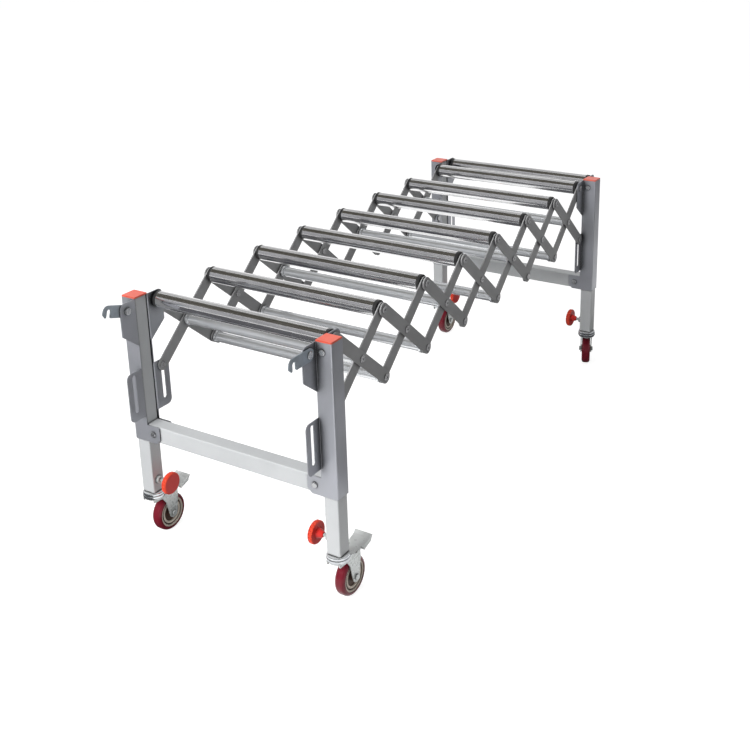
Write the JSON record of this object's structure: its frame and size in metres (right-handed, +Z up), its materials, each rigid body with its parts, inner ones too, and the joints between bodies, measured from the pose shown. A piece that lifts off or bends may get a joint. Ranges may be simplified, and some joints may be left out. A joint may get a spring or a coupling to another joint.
{
  "type": "roller stand",
  "caption": "Expanding roller stand on swivel casters: chrome rollers carried by folding scissor arms between two end frames with telescoping legs.",
  "frame": {"origin": "on the floor, under the middle of the stand's own box when it is pulled out", "axes": "+X along the rollers to the right seen from the hooked end, +Y from the hooked end to the far end, +Z up"},
  "size_m": [0.572, 1.5654, 0.6177],
  "materials": {
    "channel_paint": "satin grey powder coat",
    "tube_paint": "light silver paint",
    "arm_paint": "satin mid-grey paint",
    "roller_steel": "drawn steel tube with a bright finish and black plastic ends",
    "zinc": "bright zinc plate",
    "cap_plastic": "orange-red plastic",
    "knob_plastic": "red plastic",
    "tyre": "maroon polyurethane",
    "hub_plastic": "cream plastic"
  },
  "bodies": {
    "near_frame": {"near_uprights": "channel_paint", "near_leg_tubes": "tube_paint", "near_crossbar": "tube_paint", "near_leg_caps": "cap_plastic"},
    "outer_arms_1": {"outer_arms_1": "arm_paint", "cross_tubes_1": "zinc"},
    "inner_arms_1": {"inner_arms_1": "arm_paint"},
    "outer_arms_2": {"outer_arms_2": "arm_paint"},
    "inner_arms_2": {"inner_arms_2": "arm_paint"},
    "outer_arms_3": {"outer_arms_3": "arm_paint"},
    "inner_arms_3": {"inner_arms_3": "arm_paint", "cross_tubes_3": "zinc"},
    "outer_arms_4": {"outer_arms_4": "arm_paint"},
    "inner_arms_4": {"inner_arms_4": "arm_paint"},
    "outer_arms_5": {"outer_arms_5": "arm_paint"},
    "inner_arms_5": {"inner_arms_5": "arm_paint", "cross_tubes_5": "zinc"},
    "outer_arms_6": {"outer_arms_6": "arm_paint"},
    "inner_arms_6": {"inner_arms_6": "arm_paint"},
    "outer_arms_7": {"outer_arms_7": "arm_paint"},
    "inner_arms_7": {"inner_arms_7": "arm_paint", "cross_tubes_7": "zinc"},
    "far_frame": {"far_uprights": "channel_paint", "far_leg_tubes": "tube_paint", "far_crossbar": "tube_paint", "far_leg_caps": "cap_plastic", "far_roller_axle": "zinc"},
    "roller_1": {"roller_1": "roller_steel"},
    "roller_2": {"roller_2": "roller_steel"},
    "roller_3": {"roller_3": "roller_steel"},
    "roller_4": {"roller_4": "roller_steel"},
    "roller_5": {"roller_5": "roller_steel"},
    "roller_6": {"roller_6": "roller_steel"},
    "roller_7": {"roller_7": "roller_steel"},
    "roller_8": {"roller_8": "roller_steel"},
    "roller_9": {"roller_9": "roller_steel"},
    "inner_leg_near_left": {"inner_leg_near_left": "zinc"},
    "leg_knob_near_left": {"leg_knob_near_left": "knob_plastic"},
    "caster_fork_near_left": {"caster_fork_near_left": "zinc"},
    "caster_wheel_near_left": {"caster_hub_near_left": "hub_plastic", "caster_tyre_near_left": "tyre"},
    "inner_leg_near_right": {"inner_leg_near_right": "zinc"},
    "leg_knob_near_right": {"leg_knob_near_right": "knob_plastic"},
    "caster_fork_near_right": {"caster_fork_near_right": "zinc"},
    "caster_wheel_near_right": {"caster_hub_near_right": "hub_plastic", "caster_tyre_near_right": "tyre"},
    "inner_leg_far_left": {"inner_leg_far_left": "zinc"},
    "leg_knob_far_left": {"leg_knob_far_left": "knob_plastic"},
    "caster_fork_far_left": {"caster_fork_far_left": "zinc"},
    "caster_wheel_far_left": {"caster_hub_far_left": "hub_plastic", "caster_tyre_far_left": "tyre"},
    "inner_leg_far_right": {"inner_leg_far_right": "zinc"},
    "leg_knob_far_right": {"leg_knob_far_right": "knob_plastic"},
    "caster_fork_far_right": {"caster_fork_far_right": "zinc"},
    "caster_wheel_far_right": {"caster_hub_far_right": "hub_plastic", "caster_tyre_far_right": "tyre"},
    "brake_pedal_left": {"brake_pedal_left": "zinc"},
    "coupling_hook_left": {"coupling_hook_left": "channel_paint"},
    "brake_pedal_right": {"brake_pedal_right": "zinc"},
    "coupling_hook_right": {"coupling_hook_right": "channel_paint"}
  },
  "joints": [
    {"name": "scissor_fold", "type": "hinge", "parent": "near_frame", "child": "outer_arms_1", "pos_m": [0, -0.62574, 0.5885], "axis": [-1, 0, 0], "range_deg": [0, 38.5]},
    {"name": "inner_arms_1_turn", "type": "hinge", "parent": "outer_arms_1", "child": "inner_arms_1", "pos_m": [0, -0.53442, 0.50912], "axis": [1, 0, 0], "range_deg": [0, 77]},
    {"name": "outer_arms_2_turn", "type": "hinge", "parent": "inner_arms_1", "child": "outer_arms_2", "pos_m": [0, -0.4431, 0.5885], "axis": [-1, 0, 0], "range_deg": [0, 77]},
    {"name": "inner_arms_2_turn", "type": "hinge", "parent": "outer_arms_2", "child": "inner_arms_2", "pos_m": [0, -0.35178, 0.50912], "axis": [1, 0, 0], "range_deg": [0, 77]},
    {"name": "outer_arms_3_turn", "type": "hinge", "parent": "inner_arms_2", "child": "outer_arms_3", "pos_m": [0, -0.26046, 0.5885], "axis": [-1, 0, 0], "range_deg": [0, 77]},
    {"name": "inner_arms_3_turn", "type": "hinge", "parent": "outer_arms_3", "child": "inner_arms_3", "pos_m": [0, -0.16914, 0.50912], "axis": [1, 0, 0], "range_deg": [0, 77]},
    {"name": "outer_arms_4_turn", "type": "hinge", "parent": "inner_arms_3", "child": "outer_arms_4", "pos_m": [0, -0.07782, 0.5885], "axis": [-1, 0, 0], "range_deg": [0, 77]},
    {"name": "inner_arms_4_turn", "type": "hinge", "parent": "outer_arms_4", "child": "inner_arms_4", "pos_m": [0, 0.0135, 0.50912], "axis": [1, 0, 0], "range_deg": [0, 77]},
    {"name": "outer_arms_5_turn", "type": "hinge", "parent": "inner_arms_4", "child": "outer_arms_5", "pos_m": [0, 0.10482, 0.5885], "axis": [-1, 0, 0], "range_deg": [0, 77]},
    {"name": "inner_arms_5_turn", "type": "hinge", "parent": "outer_arms_5", "child": "inner_arms_5", "pos_m": [0, 0.19614, 0.50912], "axis": [1, 0, 0], "range_deg": [0, 77]},
    {"name": "outer_arms_6_turn", "type": "hinge", "parent": "inner_arms_5", "child": "outer_arms_6", "pos_m": [0, 0.28746, 0.5885], "axis": [-1, 0, 0], "range_deg": [0, 77]},
    {"name": "inner_arms_6_turn", "type": "hinge", "parent": "outer_arms_6", "child": "inner_arms_6", "pos_m": [0, 0.37878, 0.50912], "axis": [1, 0, 0], "range_deg": [0, 77]},
    {"name": "outer_arms_7_turn", "type": "hinge", "parent": "inner_arms_6", "child": "outer_arms_7", "pos_m": [0, 0.4701, 0.5885], "axis": [-1, 0, 0], "range_deg": [0, 77]},
    {"name": "inner_arms_7_turn", "type": "hinge", "parent": "outer_arms_7", "child": "inner_arms_7", "pos_m": [0, 0.56142, 0.50912], "axis": [1, 0, 0], "range_deg": [0, 77]},
    {"name": "far_frame_turn", "type": "hinge", "parent": "inner_arms_7", "child": "far_frame", "pos_m": [0, 0.65274, 0.5885], "axis": [-1, 0, 0], "range_deg": [0, 38.5]},
    {"name": "roller_1_spin", "type": "hinge", "parent": "outer_arms_1", "child": "roller_1", "pos_m": [0, -0.62574, 0.5885], "axis": [1, 0, 0], "continuous": true},
    {"name": "roller_2_spin", "type": "hinge", "parent": "inner_arms_1", "child": "roller_2", "pos_m": [0, -0.4431, 0.5885], "axis": [1, 0, 0], "continuous": true},
    {"name": "roller_3_spin", "type": "hinge", "parent": "inner_arms_2", "child": "roller_3", "pos_m": [0, -0.26046, 0.5885], "axis": [1, 0, 0], "continuous": true},
    {"name": "roller_4_spin", "type": "hinge", "parent": "inner_arms_3", "child": "roller_4", "pos_m": [0, -0.07782, 0.5885], "axis": [1, 0, 0], "continuous": true},
    {"name": "roller_5_spin", "type": "hinge", "parent": "inner_arms_4", "child": "roller_5", "pos_m": [0, 0.10482, 0.5885], "axis": [1, 0, 0], "continuous": true},
    {"name": "roller_6_spin", "type": "hinge", "parent": "inner_arms_5", "child": "roller_6", "pos_m": [0, 0.28746, 0.5885], "axis": [1, 0, 0], "continuous": true},
    {"name": "roller_7_spin", "type": "hinge", "parent": "inner_arms_6", "child": "roller_7", "pos_m": [0, 0.4701, 0.5885], "axis": [1, 0, 0], "continuous": true},
    {"name": "roller_8_spin", "type": "hinge", "parent": "inner_arms_7", "child": "roller_8", "pos_m": [0, 0.65274, 0.5885], "axis": [1, 0, 0], "continuous": true},
    {"name": "roller_9_spin", "type": "hinge", "parent": "far_frame", "child": "roller_9", "pos_m": [0, 0.74274, 0.5885], "axis": [1, 0, 0], "continuous": true},
    {"name": "leg_near_left_extend", "type": "slide", "parent": "near_frame", "child": "inner_leg_near_left", "axis": [0, 0, -1], "range_m": [0, 0.25]},
    {"name": "knob_near_left_turn", "type": "hinge", "parent": "near_frame", "child": "leg_knob_near_left", "pos_m": [-0.26, -0.67074, 0.155], "axis": [1, 0, 0], "range_deg": [0, 360]},
    {"name": "caster_near_left_swivel", "type": "hinge", "parent": "inner_leg_near_left", "child": "caster_fork_near_left", "pos_m": [-0.26, -0.67074, 0.118], "axis": [0, 0, 1], "continuous": true},
    {"name": "wheel_near_left_spin", "type": "hinge", "parent": "caster_fork_near_left", "child": "caster_wheel_near_left", "pos_m": [-0.26, -0.63074, 0.045], "axis": [1, 0, 0], "continuous": true},
    {"name": "leg_near_right_extend", "type": "slide", "parent": "near_frame", "child": "inner_leg_near_right", "axis": [0, 0, -1], "range_m": [0, 0.25]},
    {"name": "knob_near_right_turn", "type": "hinge", "parent": "near_frame", "child": "leg_knob_near_right", "pos_m": [0.26, -0.67074, 0.155], "axis": [-1, 0, 0], "range_deg": [0, 360]},
    {"name": "caster_near_right_swivel", "type": "hinge", "parent": "inner_leg_near_right", "child": "caster_fork_near_right", "pos_m": [0.26, -0.67074, 0.118], "axis": [0, 0, 1], "continuous": true},
    {"name": "wheel_near_right_spin", "type": "hinge", "parent": "caster_fork_near_right", "child": "caster_wheel_near_right", "pos_m": [0.26, -0.63074, 0.045], "axis": [1, 0, 0], "continuous": true},
    {"name": "leg_far_left_extend", "type": "slide", "parent": "far_frame", "child": "inner_leg_far_left", "axis": [0, 0, -1], "range_m": [0, 0.25]},
    {"name": "knob_far_left_turn", "type": "hinge", "parent": "far_frame", "child": "leg_knob_far_left", "pos_m": [-0.26, 0.69774, 0.155], "axis": [1, 0, 0], "range_deg": [0, 360]},
    {"name": "caster_far_left_swivel", "type": "hinge", "parent": "inner_leg_far_left", "child": "caster_fork_far_left", "pos_m": [-0.26, 0.69774, 0.118], "axis": [0, 0, 1], "continuous": true},
    {"name": "wheel_far_left_spin", "type": "hinge", "parent": "caster_fork_far_left", "child": "caster_wheel_far_left", "pos_m": [-0.26, 0.73774, 0.045], "axis": [1, 0, 0], "continuous": true},
    {"name": "leg_far_right_extend", "type": "slide", "parent": "far_frame", "child": "inner_leg_far_right", "axis": [0, 0, -1], "range_m": [0, 0.25]},
    {"name": "knob_far_right_turn", "type": "hinge", "parent": "far_frame", "child": "leg_knob_far_right", "pos_m": [0.26, 0.69774, 0.155], "axis": [-1, 0, 0], "range_deg": [0, 360]},
    {"name": "caster_far_right_swivel", "type": "hinge", "parent": "inner_leg_far_right", "child": "caster_fork_far_right", "pos_m": [0.26, 0.69774, 0.118], "axis": [0, 0, 1], "continuous": true},
    {"name": "wheel_far_right_spin", "type": "hinge", "parent": "caster_fork_far_right", "child": "caster_wheel_far_right", "pos_m": [0.24502, 0.73483, 0.045], "axis": [0.9272, 0.3746, 0], "continuous": true},
    {"name": "brake_left_press", "type": "hinge", "parent": "caster_fork_near_left", "child": "brake_pedal_left", "pos_m": [-0.26, -0.62074, 0.096], "axis": [-1, 0, 0], "range_deg": [0, 14]},
    {"name": "hook_left_swing", "type": "hinge", "parent": "near_frame", "child": "coupling_hook_left", "pos_m": [-0.244, -0.71574, 0.5885], "axis": [-1, 0, 0], "range_deg": [-77, 78]},
    {"name": "brake_right_press", "type": "hinge", "parent": "caster_fork_near_right", "child": "brake_pedal_right", "pos_m": [0.26, -0.62074, 0.096], "axis": [-1, 0, 0], "range_deg": [0, 14]},
    {"name": "hook_right_swing", "type": "hinge", "parent": "near_frame", "child": "coupling_hook_right", "pos_m": [0.244, -0.71574, 0.5885], "axis": [-1, 0, 0], "range_deg": [-60, 95]}
  ],
  "couplings": [
    {"joint": "inner_arms_1_turn", "follows": "scissor_fold", "ratio": 2},
    {"joint": "outer_arms_2_turn", "follows": "scissor_fold", "ratio": 2},
    {"joint": "inner_arms_2_turn", "follows": "scissor_fold", "ratio": 2},
    {"joint": "outer_arms_3_turn", "follows": "scissor_fold", "ratio": 2},
    {"joint": "inner_arms_3_turn", "follows": "scissor_fold", "ratio": 2},
    {"joint": "outer_arms_4_turn", "follows": "scissor_fold", "ratio": 2},
    {"joint": "inner_arms_4_turn", "follows": "scissor_fold", "ratio": 2},
    {"joint": "outer_arms_5_turn", "follows": "scissor_fold", "ratio": 2},
    {"joint": "inner_arms_5_turn", "follows": "scissor_fold", "ratio": 2},
    {"joint": "outer_arms_6_turn", "follows": "scissor_fold", "ratio": 2},
    {"joint": "inner_arms_6_turn", "follows": "scissor_fold", "ratio": 2},
    {"joint": "outer_arms_7_turn", "follows": "scissor_fold", "ratio": 2},
    {"joint": "inner_arms_7_turn", "follows": "scissor_fold", "ratio": 2},
    {"joint": "far_frame_turn", "follows": "scissor_fold", "ratio": 1}
  ]
}
